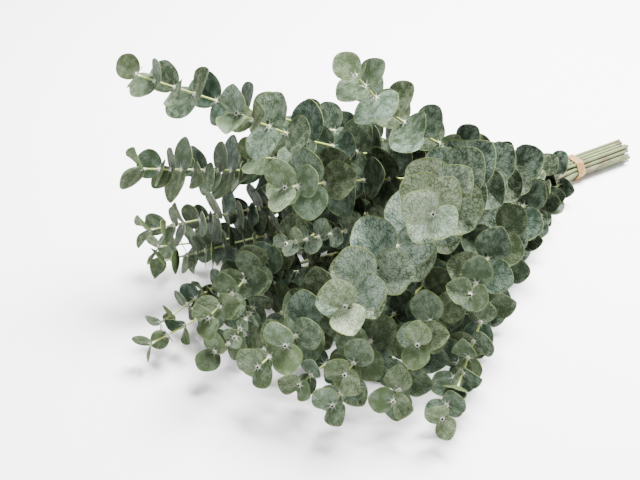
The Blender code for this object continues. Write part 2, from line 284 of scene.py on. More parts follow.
# Position on the leaf in mm from its base, and the same as reach and angle
def leafPlace(tree):
    uv = addNode(tree, "UVMap", {"uv_map": "leafPlane"}).outputs["UV"]
    width = leafMap["width"]
    base = [-width * share for share in leafMap["base"]] + [0]
    settings = {"operation": "MULTIPLY_ADD", 1: (width, width, 0), 2: base}
    place = addNode(tree, "VectorMath", settings, {0: uv}).outputs[0]
    axes = addNode(tree, "SeparateXYZ", {}, {0: place})
    reach = addNode(tree, "VectorMath", {"operation": "LENGTH"}, {0: place}).outputs["Value"]
    return place, reach, maths(tree, "ARCTAN2", axes.outputs[0], axes.outputs[1])


# Each leaf's own values: how old it is, how much wax it has, a seed, and 1 along its edge
def leafFacts(tree):
    facts = addNode(tree, "Attribute", {"attribute_name": "leafFacts"})
    split = addNode(tree, "SeparateColor", {}, {0: facts.outputs["Color"]})
    return split.outputs[0], split.outputs[1], split.outputs[2], facts.outputs["Alpha"]


# Side veins: a net of long cells that widen away from the leaf's base
def sideVeins(tree, reach, angle, seed):
    across = scaled(tree, angle, leafLook["veinGapAt"] / leafLook["veinGap"])
    along = maths(tree, "DIVIDE", reach, leafLook["veinLength"])
    depth = scaled(tree, seed, seedSpread["veins"])
    polar = addNode(tree, "CombineXYZ", {}, {0: across, 1: along, 2: depth}).outputs[0]
    settings = {"feature": "DISTANCE_TO_EDGE", "Scale": 1.0}
    cells = addNode(tree, "TexVoronoi", settings, {"Vector": polar})
    return ramp(tree, cells.outputs["Distance"], *leafRamps["vein"])


# Main veins: thin lines that fan out from the leaf's base, a little bent
def mainVeins(tree, angle, patches, seed):
    shift = scaled(tree, seed, seedSpread["mainVeins"])
    bend = scaled(tree, patches, leafLook["mainVeinBend"], shift)
    wave = maths(tree, "SINE", scaled(tree, angle, leafLook["mainVeins"], bend))
    return ramp(tree, maths(tree, "ABSOLUTE", wave), *leafRamps["mainVein"])


def leafNoise(tree, place, seed, width, detail):
    depth = scaled(tree, seed, seedSpread["noise"])
    settings = {"noise_dimensions": "4D", "Scale": 1 / width, "Detail": detail}
    return addNode(tree, "TexNoise", settings, {"Vector": place, "W": depth}).outputs["Fac"]


# Juvenile eucalyptus leaf, upper face: a leathery green blade under a powdery wax bloom. The
# wax scatters light, so it looks matt and nearly white where it is thick, and veins stay bare.
def waxyLeafUpper():
    surface = {"Roughness": 0.65, "IOR": 1.45, "Specular IOR Level": 0.08}
    material = newMaterial("waxyLeafUpper", surface)
    tree = material.node_tree
    place, reach, angle = leafPlace(tree)
    age, wax, seed, edge = leafFacts(tree)
    side = sideVeins(tree, reach, angle, seed)
    specks = leafNoise(tree, place, seed, leafLook["speck"], 2.0)
    patches = leafNoise(tree, place, seed, leafLook["patch"], 1.0)
    veins = maths(tree, "MAXIMUM", side, mainVeins(tree, angle, patches, seed))
    tint = ramp(tree, seed, 0.0, 1.0)

    blade = mix(tree, tint, *leafLook["blade"])
    green = mix(tree, ramp(tree, age, *leafRamps["grownGreen"]), leafLook["young"], blade)
    # Old leaves, near the tie, turn to a darker green: partly their ageing, partly painted shade
    # inside the bunch
    green = mix(tree, ramp(tree, age, *leafRamps["deepGreen"]), green, leafLook["deep"])

    grains = scaled(tree, wax, *leafShares["grains"])
    cover = scaled(tree, ramp(tree, specks, *leafRamps["specks"]), grains, wax)
    rubbed = ramp(tree, patches, *leafRamps["patches"])
    cover = scaled(tree, rubbed, leafShares["patches"], cover)
    cover = scaled(tree, veins, scaled(tree, wax, *leafShares["bareVeins"]), cover)
    powder = mix(tree, tint, *leafLook["wax"])
    colour = mix(tree, ramp(tree, cover, *leafRamps["wax"]), green, powder)
    thick = scaled(tree, ramp(tree, cover, *leafRamps["thickWax"]), leafShares["thickWax"])
    colour = mix(tree, thick, colour, leafLook["thickWax"])

    bend = scaled(tree, patches, leafLook["rayBend"], scaled(tree, angle, leafLook["rays"]))
    rays = ramp(tree, maths(tree, "SINE", bend), *leafRamps["ray"])
    rays = scaled(tree, rays, ramp(tree, reach, *leafRamps["rayReach"]))
    rays = scaled(tree, rays, scaled(tree, seed, *leafShares["rays"]))
    colour = mix(tree, rays, colour, leafLook["heart"])
    heart = scaled(tree, specks, leafLook["heartRough"], reach)
    colour = mix(tree, ramp(tree, heart, *leafRamps["heart"]), colour, leafLook["heart"])

    # Along each leaf's edge a thin yellow-green line, darker than the wax: partly the leaf's own
    # margin, partly painted shade where overlapping leaves meet
    young = ramp(tree, age, *leafRamps["youngMargin"])
    margin = mix(tree, young, leafLook["margin"], leafLook["youngMargin"])
    rim = scaled(tree, wax, *leafShares["margin"])
    rim = scaled(tree, ramp(tree, edge, *leafRamps["margin"]), rim)
    height = scaled(tree, side, -leafLook["veinDepth"], specks)
    return paint(material, mix(tree, rim, colour, margin), (height, *leafLook["upperBump"]))


# The same leaf's under face: smoother and more evenly waxed, and darker. The darkness is partly the
# under face's own deeper green and partly painted shade, since the under faces turn away from the
# light.
def smoothLeafUnder():
    surface = {"Roughness": 0.65, "IOR": 1.45, "Specular IOR Level": 0.04}
    material = newMaterial("smoothLeafUnder", surface)
    tree = material.node_tree
    place, reach, angle = leafPlace(tree)
    age, wax, seed, edge = leafFacts(tree)
    veins = sideVeins(tree, reach, angle, seed)
    patches = leafNoise(tree, place, seed, leafLook["patch"], 2.0)
    rubbed = ramp(tree, patches, *leafRamps["underPatches"])
    cover = scaled(tree, wax, leafShares["underWax"])
    cover = scaled(tree, rubbed, leafShares["underPatches"], cover)
    grown = ramp(tree, age, *leafRamps["grownGreen"])
    green = mix(tree, grown, leafLook["young"], leafLook["under"])
    colour = mix(tree, cover, green, leafLook["underWax"])
    colour = mix(tree, scaled(tree, veins, leafShares["underVeins"]), colour, leafLook["margin"])
    rim = scaled(tree, ramp(tree, edge, *leafRamps["underMargin"]), leafShares["underMargin"])
    colour = mix(tree, rim, colour, leafLook["margin"])
    return paint(material, colour, (veins, *leafLook["underBump"]))


# The leaf's thin edge: pale and slightly glossy
def paleLeafMargin():
    surface = {"Roughness": 0.5, "IOR": 1.45, "Specular IOR Level": 0.3}
    material = newMaterial("paleLeafMargin", surface)
    tree = material.node_tree
    seed = leafFacts(tree)[2]
    tint = ramp(tree, seed, *leafRamps["thinEdge"])
    return paint(material, mix(tree, tint, *leafLook["thinEdge"]))


twigLook = {
    "young": "97A44E",
    "old": "5C6640",
    "oldBark": (0.1, 0.8),  # ages at which the old colour starts and is full
    "joint": "EDF0E2",
    "jointShare": 0.7,
    "brown": "4A3826",
    "brownAge": (0.4, 1.0),
    "brownShare": 0.8,
    "patches": 60.0,  # in a metre
    "patchEdge": (0.45, 0.65),
    "wax": "8F977E",
    "waxShare": 0.3,
    "streaks": 1000 / 3.6,  # in a metre: 3.6 mm each
    "streakEdge": (0.5, 0.75),
    "bump": (0.4, 0.0003),  # strength, and depth in metres
}


# Green twig with thin bark: waxed and yellow-green when young, browner and streaked when old. The
# second of a twig's values is 1 at a joint, where its pair of leaves stands.
def greenTwigBark():
    material = newMaterial("greenTwigBark", {"Roughness": 0.6, "IOR": 1.45})
    tree = material.node_tree
    age, joint = leafFacts(tree)[:2]
    streaks = objectNoise(tree, twigLook["streaks"], 3.0)
    patches = objectNoise(tree, twigLook["patches"], 1.0)
    old = ramp(tree, age, *twigLook["oldBark"])
    colour = mix(tree, old, twigLook["young"], twigLook["old"])
    brown = scaled(tree, ramp(tree, age, *twigLook["brownAge"]), twigLook["brownShare"])
    brown = scaled(tree, ramp(tree, patches, *twigLook["patchEdge"]), brown)
    colour = mix(tree, brown, colour, twigLook["brown"])
    waxed = scaled(tree, ramp(tree, streaks, *twigLook["streakEdge"]), twigLook["waxShare"])
    colour = mix(tree, waxed, colour, twigLook["wax"])
    colour = mix(tree, scaled(tree, joint, twigLook["jointShare"]), colour, twigLook["joint"])
    return paint(material, colour, (streaks, *twigLook["bump"]))


# Materials whose two colours lie in grains: freshly cut wood, pale and matt; the nipped tip of a
# shoot, dried dark; and natural rubber, moulded, cut and dusty
grainedLooks = {
    "freshCutWood": {
        "surface": {"Roughness": 0.75},
        "colours": ("C9BE93", "9A9062"),
        "grains": 900.0,  # in a metre
        "detail": 3.0,
        "grainEdge": (0.4, 0.7),
    },
    "driedNippedTip": {
        "surface": {"Roughness": 0.8},
        "colours": ("0E0C08", "4A3826"),
        "grains": 1500.0,
        "detail": 2.0,
        "grainEdge": (0.6, 0.9),
    },
    "naturalRubberBand": {
        "surface": {"Roughness": 0.5, "IOR": 1.52},
        "colours": ("8A6438", "A98558"),
        "grains": 350.0,
        "detail": 4.0,
        "grainEdge": (0.4, 0.7),
        "bump": (0.3, 0.0002),
    },
}


def grained(name):
    look = grainedLooks[name]
    material = newMaterial(name, look["surface"])
    tree = material.node_tree
    grains = objectNoise(tree, look["grains"], look["detail"])
    colour = mix(tree, ramp(tree, grains, *look["grainEdge"]), *look["colours"])
    return paint(material, colour, (grains, *look["bump"]) if "bump" in look else None)


# The bundle in the tie: rows of touching stems

bundle = {
    "rows": (4, 5, 6, 5, 4),  # stems in each row, from the table upwards
    "stemRadius": 0.0021,
    "gap": 0.0003,
    "swing": 32,  # degrees in plan, from -X towards -Y
    "butt": 0.078,  # from the tie to the cut ends
    "buttUneven": 0.012,
    "tieWidth": 0.009,
    "tieWall": 0.0012,
}
swing = math.radians(bundle["swing"])
bundleAxis = Vector((-math.cos(swing), -math.sin(swing), 0.0))
bundleAcross = bundleAxis.cross(Vector((0, 0, 1))) * -1.0


def bundlePlace(row, place):
    pitch = 2 * bundle["stemRadius"] + bundle["gap"]
    across = (place - (bundle["rows"][row] - 1) / 2) * pitch
    up = (row - (len(bundle["rows"]) - 1) / 2) * pitch * math.sqrt(3) / 2
    return across, up


tieHeight = -bundlePlace(0, 0)[1] + bundle["stemRadius"] + bundle["gap"] + bundle["tieWall"]


def placeInBundle(row, place, along):
    across, up = bundlePlace(row, place)
    centre = Vector((0, 0, tieHeight))
    return centre + bundleAcross * across + Vector((0, 0, up)) + bundleAxis * along


# How stems and leaves grow. Lengths are in metres, angles in degrees.
growth = {
    "seed": 11,
    "tipRadius": 0.0009,
    "grip": 0.045,  # how far a stem keeps the bundle's direction past the tie
    "tipReach": 0.36,  # share of a stem over which it turns to its tip's own heading
    "lowestTurn": 0.014,
    "steps": 6,
    "forkSteps": 3,
    "thickness": 0.0008,
    "bladeAngles": (70, 38, 0),
    "smallBladeAngles": (60, 25),
    "smallBlade": 0.0235,
    "bladeSpread": 0.85,
    "cup": 0.12,
    "cupRange": (-0.4, 1.3),
    "young": 0.72,  # size of the last pair, as a share of a full leaf
    "grownBy": 4,  # pairs from the tip to a full leaf
    "old": 0.7,  # size of the leaves nearest the tie
    "oldStep": 4.0,  # distance between the oldest pairs, as a share of the tip's
    "bareTip": 0.0015,
    "tipLean": 34,
    "fullLean": 14,
    "openedBy": 2,
    "pairLengthRange": (0.92, 1.06),
    "leafLengthUneven": 0.05,
    "stepUneven": 0.1,
    "turnUneven": 12,
    "leanUneven": 9,
    "rollUneven": 8,
    "clearance": 0.0004,
    "smallestLeaf": 0.009,
    "leafReach": 0.75,
    "light": Vector((0.0, -0.5, 0.87)),
}
# Ways to bend a leaf clear of what is already there, each tried in turn: by how much it is
# leaned and rolled, and how long it stays
bends = {
    "leans": (0, 10, -10, 20, -20, 32, -32, 44, 56, -44),
    "rolls": (0, 14, -14, 28, -28),
    "sizes": (1.0, 0.85, 0.7),
}
quickBends = {
    "leans": (0, 16, -16, 34, -34, 52),
    "rolls": (0, 20, -20, 38),
    "sizes": (1.0, 0.8, 0.62),
}

# One line for each stem: row and place in the bundle, its last pair of leaves in metres, the
# tip's heading as degrees in plan and degrees of rise, the length of its longest leaves, the
# distance between two pairs, the stem without solid leaves, the first pair's turn, and how far
# its leaves turn to the light. A side shoot also has the share of its stem that is below it.
stemValues = ("row", "place", "tip", "heads", "leaf", "step", "bare", "turn", "sun")
shootValues = ("row", "place", "after", "tip", "heads", "leaf", "step", "bare", "turn", "sun")
stemTable = (
    (4, 0, (-0.434, -0.165, 0.212), (28, 34), 0.031, 0.027, 0.200, 10, 0.3),
    (4, 1, (-0.340, -0.245, 0.218), (50, 42), 0.033, 0.028, 0.060, 70, 0.2),
    (4, 2, (-0.240, -0.200, 0.230), (40, 58), 0.034, 0.026, 0.045, 20, 0.2),
    (4, 3, (-0.180, -0.340, 0.180), (83, 12), 0.038, 0.021, 0.080, 35, 0.3),
    (3, 0, (-0.431, -0.200, 0.135), (25, 16), 0.032, 0.026, 0.220, 85, 0.2),
    (3, 1, (-0.330, -0.180, 0.135), (25, 18), 0.032, 0.030, 0.220, 40, 0.5),
    (3, 2, (-0.300, -0.270, 0.160), (62, 25), 0.034, 0.028, 0.200, 55, 0.2),
    (3, 3, (-0.250, -0.370, 0.110), (65, -8), 0.039, 0.022, 0.120, 60, 0.6),
    (3, 4, (-0.143, -0.321, 0.085), (72, 2), 0.032, 0.027, 0.035, 15, 0.5),
    (2, 0, (-0.425, -0.220, 0.082), (24, 0), 0.025, 0.020, 0.260, 80, 0.1),
    (2, 1, (-0.414, -0.222, 0.049), (20, -4), 0.026, 0.020, 0.260, 90, 0.0),
    (2, 2, (-0.364, -0.347, 0.080), (70, -5), 0.026, 0.024, 0.260, 70, 0.4),
    (2, 3, (-0.300, -0.270, 0.102), (42, 16), 0.018, 0.017, 0.290, 5, 0.3),
    (2, 4, (-0.190, -0.370, 0.070), (74, 8), 0.030, 0.027, 0.200, 75, 0.4),
    (2, 5, (-0.155, -0.375, 0.028), (70, -20), 0.026, 0.022, 0.060, 80, 0.2),
    (1, 0, (-0.426, -0.170, 0.028), (12, 3), 0.028, 0.025, 0.200, 50, 0.2),
    (1, 1, (-0.420, -0.310, 0.022), (36, -10), 0.022, 0.022, 0.300, 35, 0.1),
    (1, 2, (-0.322, -0.372, 0.048), (65, 6), 0.029, 0.026, 0.280, 45, 0.4),
    (1, 3, (-0.299, -0.366, 0.066), (70, 12), 0.034, 0.028, 0.250, 65, 0.3),
    (1, 4, (-0.250, -0.390, 0.055), (72, 10), 0.029, 0.025, 0.230, 30, 0.4),
    (0, 0, (-0.362, -0.328, 0.028), (50, 10), 0.029, 0.026, 0.260, 85, 0.5),
    (0, 1, (-0.260, -0.400, 0.030), (72, 12), 0.028, 0.025, 0.220, 45, 0.4),
    (0, 2, (-0.210, -0.400, 0.035), (76, 8), 0.028, 0.025, 0.220, 5, 0.4),
    (0, 3, (-0.170, -0.410, 0.025), (78, 10), 0.025, 0.024, 0.180, 60, 0.3),
)
shootTable = (
    (1, 1, 0.60, (-0.414, -0.283, 0.024), (52, -18), 0.020, 0.020, 0.020, 15, 0.1),
    (0, 1, 0.70, (-0.288, -0.374, 0.030), (66, 4), 0.025, 0.024, 0.020, 20, 0.3),
    (2, 2, 0.70, (-0.342, -0.348, 0.060), (72, 12), 0.015, 0.017, 0.020, 40, 0.3),
)
stems = [dict(zip(stemValues, line)) for line in stemTable]
sideShoots = [dict(zip(shootValues, line)) for line in shootTable]


def bezier(p0, p1, p2, p3, t):
    u = 1 - t
    return p0 * u**3 + p1 * (3 * u * u * t) + p2 * (3 * u * t * t) + p3 * t**3


def heading(plan, rise):
    plan, rise = math.radians(plan), math.radians(rise)
    level = math.cos(rise)
    return Vector((-math.cos(plan) * level, -math.sin(plan) * level, math.sin(rise)))


def shootRoute(shoot, start, held, radius, steps):
    tip = Vector(shoot["tip"])
    turning = tip - heading(*shoot["heads"]) * ((tip - start).length * growth["tipReach"])
    turning.z = max(turning.z, growth["lowestTurn"])
    route = []
    for step in range(steps + 1):
        t = step / steps
        width = radius + (growth["tipRadius"] - radius) * t
        route.append((bezier(start, held, turning, tip, t), width))
    return route


def stemRoute(stem, draw):
    start = placeInBundle(stem["row"], stem["place"], bundle["tieWidth"])
    short = draw.uniform(0, bundle["buttUneven"])
    butt = placeInBundle(stem["row"], stem["place"], -bundle["butt"] + short)
    held = start + bundleAxis * growth["grip"]
    radius = bundle["stemRadius"]
    return [(butt, radius)] + shootRoute(stem, start, held, radius, growth["steps"])


# The point and direction at a distance from the shoot's tip
def pointFromTip(route, distance):
    for (near, _), (far, _) in zip(reversed(route[:-1]), reversed(route[1:])):
        span = (far - near).length
        if distance <= span:
            return far.lerp(near, distance / span), (far - near).normalized()
        distance -= span
    return route[0][0].copy(), (route[1][0] - route[0][0]).normalized()


def sideRoute(shoot, parent):
    start, along = pointFromTip(parent, grownLength(parent) * (1 - shoot["after"]))
    held = start + along * ((Vector(shoot["tip"]) - start).length * growth["tipReach"])
    radius = (bundle["stemRadius"] + growth["tipRadius"]) / 2
    return shootRoute(shoot, start, held, radius, growth["forkSteps"])


# The length on which leaves can stand: a stem's past the tie, and all of a side shoot's
def grownLength(route):
    first = 1 if len(route) > growth["forkSteps"] + 1 else 0
    return sum((b[0] - a[0]).length for a, b in zip(route[first:-1], route[first + 1 :]))


# The solid leaf's few points and faces: in this plain shape leaves are bent clear of each other

def bladeOutline(length):
    outline = [(0.0, 0.0)]
    small = length < growth["smallBlade"]
    for angle in growth["smallBladeAngles"] if small else growth["bladeAngles"]:
        reach = math.cos(math.radians(angle * growth["bladeSpread"]))
        across = reach * math.sin(math.radians(angle))
        along = reach * math.cos(math.radians(angle))
        outline += [(-across, along), (across, along)] if angle else [(0.0, along)]
    return outline


def bladePoints(leaf, length):
    upper, lower = [], []
    size = length + 2 * growth["clearance"]
    half = growth["thickness"] / 2 + growth["clearance"]
    for x, y in bladeOutline(length):
        point = leaf["root"] + leaf["side"] * (x * size) + leaf["midrib"] * (y * size)
        point += leaf["face"] * (leaf["cup"] * (x * x + y * y) * size)
        upper.append(point + leaf["face"] * half)
        lower.append(point - leaf["face"] * half)
    return upper + lower


# The blade's upper side, its lower side and its rim, as faces of those points
def bladeFaces(count):
    rungs = [(0, 2, 1)]
    for left in range(1, count - 3, 2):
        rungs += [(left, left + 1, left + 2), (left + 1, left + 3, left + 2)]
    hasTip = count % 2 == 0
    if hasTip:
        rungs.append((count - 3, count - 2, count - 1))
    faces = rungs + [tuple(count + point for point in reversed(rung)) for rung in rungs]
    rim = [0] + list(range(2, count, 2)) + ([count - 1] if hasTip else [])
    rim += list(range(count - 3 if hasTip else count - 2, 0, -2))
    for a, b in zip(rim, rim[1:] + rim[:1]):
        faces += [(b, a, a + count), (b, a + count, b + count)]
    return faces


def eitherWay(draw, amount):
    return draw.uniform(-amount, amount)


# The two leaves of a pair, as they would stand if nothing were in the way
def newPair(shoot, route, draw, distance, number, length):
    root, towardsTip = pointFromTip(route, distance)
    opened = min(1.0, number / growth["openedBy"])
    openLean = growth["tipLean"] + (growth["fullLean"] - growth["tipLean"]) * opened
    quarter = math.radians(shoot["turn"] + 90 * number + eitherWay(draw, growth["turnUneven"]))
    level = towardsTip.cross(Vector((0, 0, 1))).normalized()
    upright = level.cross(towardsTip)
    pair = []
    for halfTurn in (0, math.pi):
        angle = quarter + halfTurn
        leaf = {"shoot": shoot, "number": number, "distance": distance, "root": root}
        leaf["towardsTip"] = towardsTip
        leaf["sun"] = shoot["sun"]
        leaf["out"] = level * math.cos(angle) + upright * math.sin(angle)
        leaf["lean"] = openLean + eitherWay(draw, growth["leanUneven"])
        leaf["roll"] = eitherWay(draw, growth["rollUneven"])
        leaf["cup"] = growth["cup"] * draw.uniform(*growth["cupRange"])
        leaf["length"] = length * (1 + eitherWay(draw, growth["leafLengthUneven"]))
        pair.append(leaf)
    return pair


def leafPairs(shoot, route, draw):
    pairs = []
    distance, number = growth["bareTip"], 0
    whole = grownLength(route)
    while distance < whole - shoot["bare"]:
        grown = growth["young"] + (1 - growth["young"]) * min(1.0, number / growth["grownBy"])
        age = (distance / whole) ** 2
        shrink = 1 - (1 - growth["old"]) * age
        length = shoot["leaf"] * grown * shrink * draw.uniform(*growth["pairLengthRange"])
        pairs.append(newPair(shoot, route, draw, distance, number, length))
        widening = 1 + (growth["oldStep"] - 1) * age
        distance += shoot["step"] * grown * widening * (1 + eitherWay(draw, growth["stepUneven"]))
        number += 1
    return pairs


# Turns a leaf out from its stem, and its face partly to the light
def aim(leaf, lean, roll):
    tilt = math.radians(lean)
    sun = leaf["sun"]
    openFace = (leaf["towardsTip"] * (1 - sun) + growth["light"] * sun).normalized()
    out = (leaf["out"] - openFace * leaf["out"].dot(openFace)).normalized()
    leaf["midrib"] = out * math.cos(tilt) + openFace * math.sin(tilt)
    face = openFace * math.cos(tilt) - out * math.sin(tilt)
    leaf["face"] = Matrix.Rotation(math.radians(roll), 3, leaf["midrib"]) @ face
    leaf["side"] = leaf["midrib"].cross(leaf["face"])


# The room for the solids' own leaves: its lowest and its highest corner
aboveTable = (Vector((-math.inf, -math.inf, 0)), Vector((math.inf, math.inf, math.inf)))


def isInside(points, room):
    low, high = room
    return all(lo <= c <= hi for point in points for lo, c, hi in zip(low, point, high))


# What a leaf takes up, or nothing if it touches another or leaves the room
def takeUp(leaf, length, obstacles, room):
    points = bladePoints(leaf, length)
    if not isInside(points, room):
        return None
    tree = BVHTree.FromPolygons(points, bladeFaces(len(points) // 2))
    middle = leaf["root"] + leaf["midrib"] * (length / 2)
    reach = growth["leafReach"] * length
    for other in obstacles:
        if other["shoot"] is leaf["shoot"] and other["number"] in (leaf["number"], None):
            continue
        if (other["middle"] - middle).length < other["reach"] + reach:
            if tree.overlap(other["tree"]):
                return None
    facts = {"shoot": leaf["shoot"], "number": leaf["number"]}
    return {**facts, "middle": middle, "reach": reach, "tree": tree}


# Tries the leaf as it grew, then leaned, rolled and smaller
def bendClear(leaf, obstacles, ways, room):
    for size in ways["sizes"]:
        length = leaf["length"] * size
        if length <= growth["smallestLeaf"]:
            return False
        for roll in ways["rolls"]:
            for lean in ways["leans"]:
                aim(leaf, leaf["lean"] + lean, leaf["roll"] + roll)
                found = takeUp(leaf, length, obstacles, room)
                if found:
                    leaf["length"] = length
                    obstacles.append(found)
                    return True
    return False


def routeObstacles(shoot, route):
    found = []
    for (a, radiusA), (b, radiusB) in zip(route, route[1:]):
        along = (b - a).normalized()
        side = along.orthogonal().normalized()
        other = along.cross(side)
        points = []
        for place, radius in ((a, radiusA), (b, radiusB)):
            half = radius + growth["clearance"]
            for across, up in ((half, half), (-half, half), (-half, -half), (half, -half)):
                points.append(place + side * across + other * up)
        faces = [(k, (k + 1) % 4, (k + 1) % 4 + 4, k + 4) for k in range(4)]
        tree = BVHTree.FromPolygons(points, faces)
        facts = {"shoot": shoot, "number": None}
        reach = (a - b).length / 2 + radiusA
        found.append({**facts, "middle": (a + b) / 2, "reach": reach, "tree": tree})
    return found


# Leaves that only the fine model has: they stand between the solid pairs lower on the stem
filling = {
    "seed": 5,
    "bare": 0.03,  # metres of bare stem past the tie
    "step": 0.7,  # distance between pairs, as a share of the stem's own
    "closeStep": {  # the same for the stems at these rows and places
        (3, 0): 0.36,
        (2, 0): 0.42,
        (2, 1): 0.42,
        (2, 2): 0.45,
        (1, 0): 0.4,
        (1, 1): 0.45,
        (1, 2): 0.45,
        (0, 0): 0.45,
    },
    "size": 0.86,
    "smallest": 0.021,  # metres, but no longer than the stem's own longest leaves
    "firstNumber": 100,
    "margin": 0.003,  # metres inside the solids' own box
    "pressed": 0.008,  # metres of a leaf that the table may push up
    "lowSun": 0.65,  # how far leaves of the lowest rows turn to the light
    "lowRows": 2,
}


def fillPairs(shoot, route, solidPairs, draw):
    whole = grownLength(route)
    young = growth["young"]
    distances = [pair[0]["distance"] for pair in solidPairs]
    bare = filling["bare"] if shoot in stems else shoot["bare"]
    step = shoot["step"] * filling["closeStep"].get((shoot["row"], shoot["place"]), filling["step"])
    found = []
    for near, far in zip(distances, distances[1:] + [whole - bare + step]):
        extra = int((far - near) / step) - 1
        for count in range(extra):
            distance = near + (far - near) * (count + 1) / (extra + 1)
            age = (distance / whole) ** 2
            length = shoot["leaf"] * (1 - (1 - growth["old"]) * age) * filling["size"]
            length = max(length, min(filling["smallest"], shoot["leaf"]))
            length *= min(1.0, young + (1 - young) * distance / shoot["step"] / growth["grownBy"])
            number = filling["firstNumber"] + len(found)
            pair = newPair(shoot, route, draw, distance, number, length)
            if shoot["row"] < filling["lowRows"]:
                for leaf in pair:
                    leaf["sun"] = max(leaf["sun"], filling["lowSun"])
            found.append(pair)
    return found


# For each stem, its shoots with their routes and leaves
def layOut():
    draw = random.Random(growth["seed"])
    grown = []
    for index, stem in enumerate(stems):
        route = stemRoute(stem, draw)
        grown.append({"stem": index, "shoot": stem, "route": route, "leaves": []})
        for side in sideShoots:
            if (side["row"], side["place"]) == (stem["row"], stem["place"]):
                fork = sideRoute(side, route)
                grown.append({"stem": index, "shoot": side, "route": fork, "leaves": []})
    obstacles = [part for each in grown for part in routeObstacles(each["shoot"], each["route"])]
    for each in grown:
        each["pairs"] = leafPairs(each["shoot"], each["route"], draw)
    for number in range(max(len(each["pairs"]) for each in grown)):
        for each in grown:
            for pair in each["pairs"][number : number + 1]:
                clear = [leaf for leaf in pair if bendClear(leaf, obstacles, bends, aboveTable)]
                each["leaves"] += clear
    solidLeaves = sum(len(each["leaves"]) for each in grown)
    margin = Vector((filling["margin"],) * 3)
    room = (cadBox[0] + margin, cadBox[1] - margin)
    room[0].z = -filling["pressed"]
    fillDraw = random.Random(filling["seed"])
    for each in grown:
        for pair in fillPairs(each["shoot"], each["route"], each["pairs"], fillDraw):
            each["leaves"] += [leaf for leaf in pair if bendClear(leaf, obstacles, quickBends, room)]
    added = sum(len(each["leaves"]) for each in grown) - solidLeaves
    print("leaves:", solidLeaves, "as in the solids and", added, "more")
    return [[each for each in grown if each["stem"] == index] for index in range(len(stems))]


# The fine leaf, made once: a square grid with its outer edges halved, drawn out to a round blade
# of length 1

leafForm = {
    "seed": 3,
    "grid": 4,  # squares each way
    "halfWidth": 0.55,
    "lobe": 0.16,  # how far the base's two lobes reach back round the stem
    "point": 0.08,  # how far the tip stands out of the round
    "thickness": 0.011,
    "fold": 0.6,  # how far the most folded leaf's halves rise from the midrib
    "foldAt": 0.15,  # distance from the midrib that the fold leaves level
    "wave": 0.035,
    "curl": (-0.16, 0.10),  # how far the tip bends up or down
    "resting": 0.0015,  # metres above the table below which a leaf gives way and lies on it
}
upperSlot, underSlot, marginSlot, twigSlot, cutSlot, tipSlot = range(6)


def leafBlade():
    bm = bmesh.new()
    bmesh.ops.create_grid(bm, x_segments=leafForm["grid"], y_segments=leafForm["grid"], size=1)
    bmesh.ops.bisect_edges(bm, edges=[edge for edge in bm.edges if edge.is_boundary], cuts=1)
    facts = bm.verts.layers.float_color.new("leafFacts")
    for vert in bm.verts:
        u, v = vert.co.x, vert.co.y
        across = u * math.sqrt(1 - v * v / 2)
        along = v * math.sqrt(1 - u * u / 2)
        lobe = leafForm["lobe"] * abs(across) * along**4 if along < 0 else 0
        point = leafForm["point"] * max(0.0, along) ** 6
        vert[facts] = (0, 0, 0, max(abs(u), abs(v)))
        vert.co = (leafForm["halfWidth"] * across, 0.5 + 0.5 * along - lobe + point, 0)
    bmesh.ops.recalc_face_normals(bm, faces=bm.faces)
    if bm.faces[0].normal.z < 0:
        bmesh.ops.reverse_faces(bm, faces=bm.faces)
    bmesh.ops.solidify(bm, geom=bm.faces[:], thickness=leafForm["thickness"])
    bmesh.ops.recalc_face_normals(bm, faces=bm.faces)
    for face in bm.faces:
        face.smooth = True
        face.material_index = marginSlot
        if abs(face.normal.z) > 0.5:
            face.material_index = upperSlot if face.normal.z > 0 else underSlot
    bm.normal_update()
    return meshFrom(bm, "leafBlade")


# A leaf's age goes from 0 at its shoot's tip to 1 near the tie, and young leaves have more wax. The
# old leaves' loss of wax and darker green is partly real ageing and partly painted shade, darkest
# near the tie inside the bunch.
leafState = {
    "tipAge": 0.08,
    "ageing": 1.3,
    "ageUneven": 0.12,
    "waxUneven": 0.5,
    "waxLost": 0.32,  # by the oldest leaves, near the tie: partly real loss of wax, partly painted shade
    "waxiestLost": 0.6,  # the oldest leaves' share of what the whitest stems have more
}
# The stems with the whitest leaves, by row and place, and how much more wax they have
waxiest = {(4, 3): 0.58, (3, 3): 0.68, (2, 3): 0.6, (4, 0): 0.05, (4, 1): 0.06}


def leafAge(distance, whole, draw):
    uneven = eitherWay(draw, leafState["ageUneven"])
    age = leafState["tipAge"] + leafState["ageing"] * distance / whole + uneven
    return max(0.0, min(1.0, age))


def leafWax(shoot, age, draw):
    more = waxiest.get((shoot["row"], shoot["place"]), 0) * (1 - leafState["waxiestLost"] * age)
    return max(0.0, more + leafState["waxUneven"] * draw.random() - leafState["waxLost"] * age)


# How far a point of the leaf stands off its plane. Its cup is round, its fold and its waved edge
# grow from the base on, and its tip's curl starts halfway.
def leafRise(cup, bend, x, y, edge):
    rise = cup * (x * x + y * y) + bend["fold"] * (abs(x) - leafForm["foldAt"]) * min(1.0, 2 * y)
    rise += bend["curl"] * max(0.0, y - 0.5) ** 2 * 2
    wave = math.sin(2 * math.atan2(x, y - 0.5) + bend["phase"])
    return rise + bend["wave"] * edge * edge * wave * min(1.0, 3 * y)


